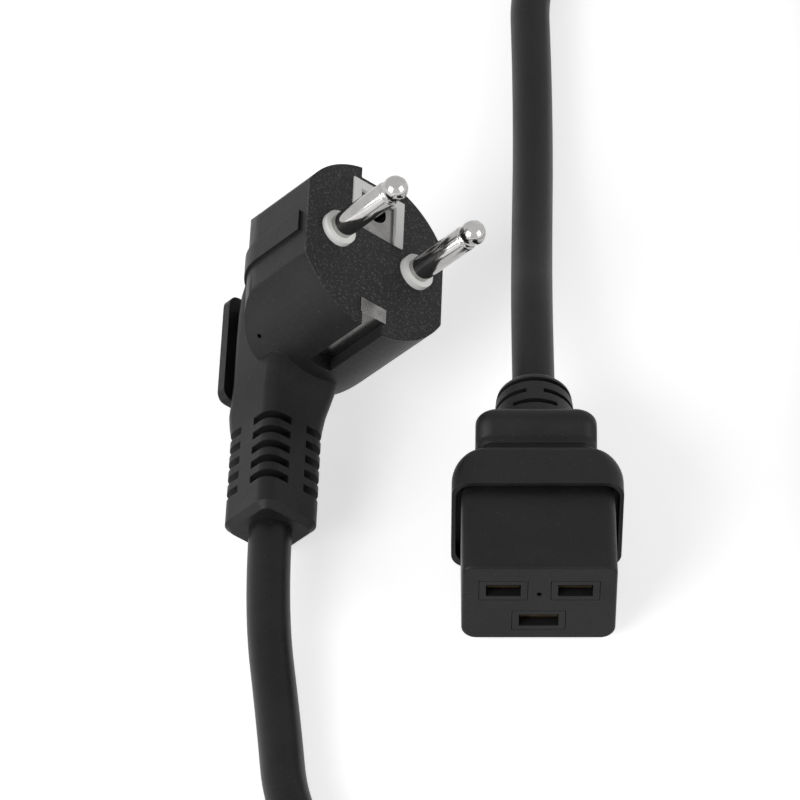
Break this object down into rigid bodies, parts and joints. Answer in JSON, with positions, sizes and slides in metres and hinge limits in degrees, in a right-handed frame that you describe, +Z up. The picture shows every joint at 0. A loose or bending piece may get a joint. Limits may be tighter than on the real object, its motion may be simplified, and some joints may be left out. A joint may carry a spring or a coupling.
{
  "type": "c19 power cord set",
  "caption": "C19 female connector with hood and strain relief, on a round mains cord that ends in an angled earthed plug.",
  "frame": {"origin": "middle of the connector's outline in plan, at the surface it lies on", "axes": "connector along Y with its slotted face toward -Y and its cord leaving toward +Y; the two live slots side by side along X above the earth slot; +Z up"},
  "size_m": [0.1308, 0.2844, 0.0556],
  "materials": {
    "moulding_black": "soft moulded PVC, satin, slightly textured",
    "block_black": "stiffer moulding, satin",
    "carrier_black": "stiff moulding, satin",
    "cord_black": "extruded PVC jacket, satin",
    "insert_white": "white insulating insert",
    "pin_nickel": "bright nickel plate",
    "strap_nickel": "nickel-plated sheet",
    "contact_brass": "bare brass sheet",
    "core_brown": "core insulation",
    "core_blue": "core insulation",
    "core_green_yellow": "core insulation, green and yellow"
  },
  "bodies": {
    "root": {"engagement_block": "block_black", "contact_carrier": "carrier_black", "carrier_seal": "carrier_black", "contact_line": "contact_brass", "contact_neutral": "contact_brass", "contact_earth": "contact_brass", "connector_core_line": "core_brown", "connector_core_neutral": "core_blue", "connector_core_earth": "core_green_yellow", "connector_overmould": "moulding_black", "cord": "cord_black", "plug_overmould": "moulding_black", "pin_bridge": "insert_white", "pin_line": "pin_nickel", "pin_neutral": "pin_nickel", "earth_strap": "strap_nickel", "earth_sleeve": "strap_nickel", "plug_core_line": "core_brown", "plug_core_neutral": "core_blue", "plug_core_earth": "core_green_yellow"}
  },
  "joints": []
}
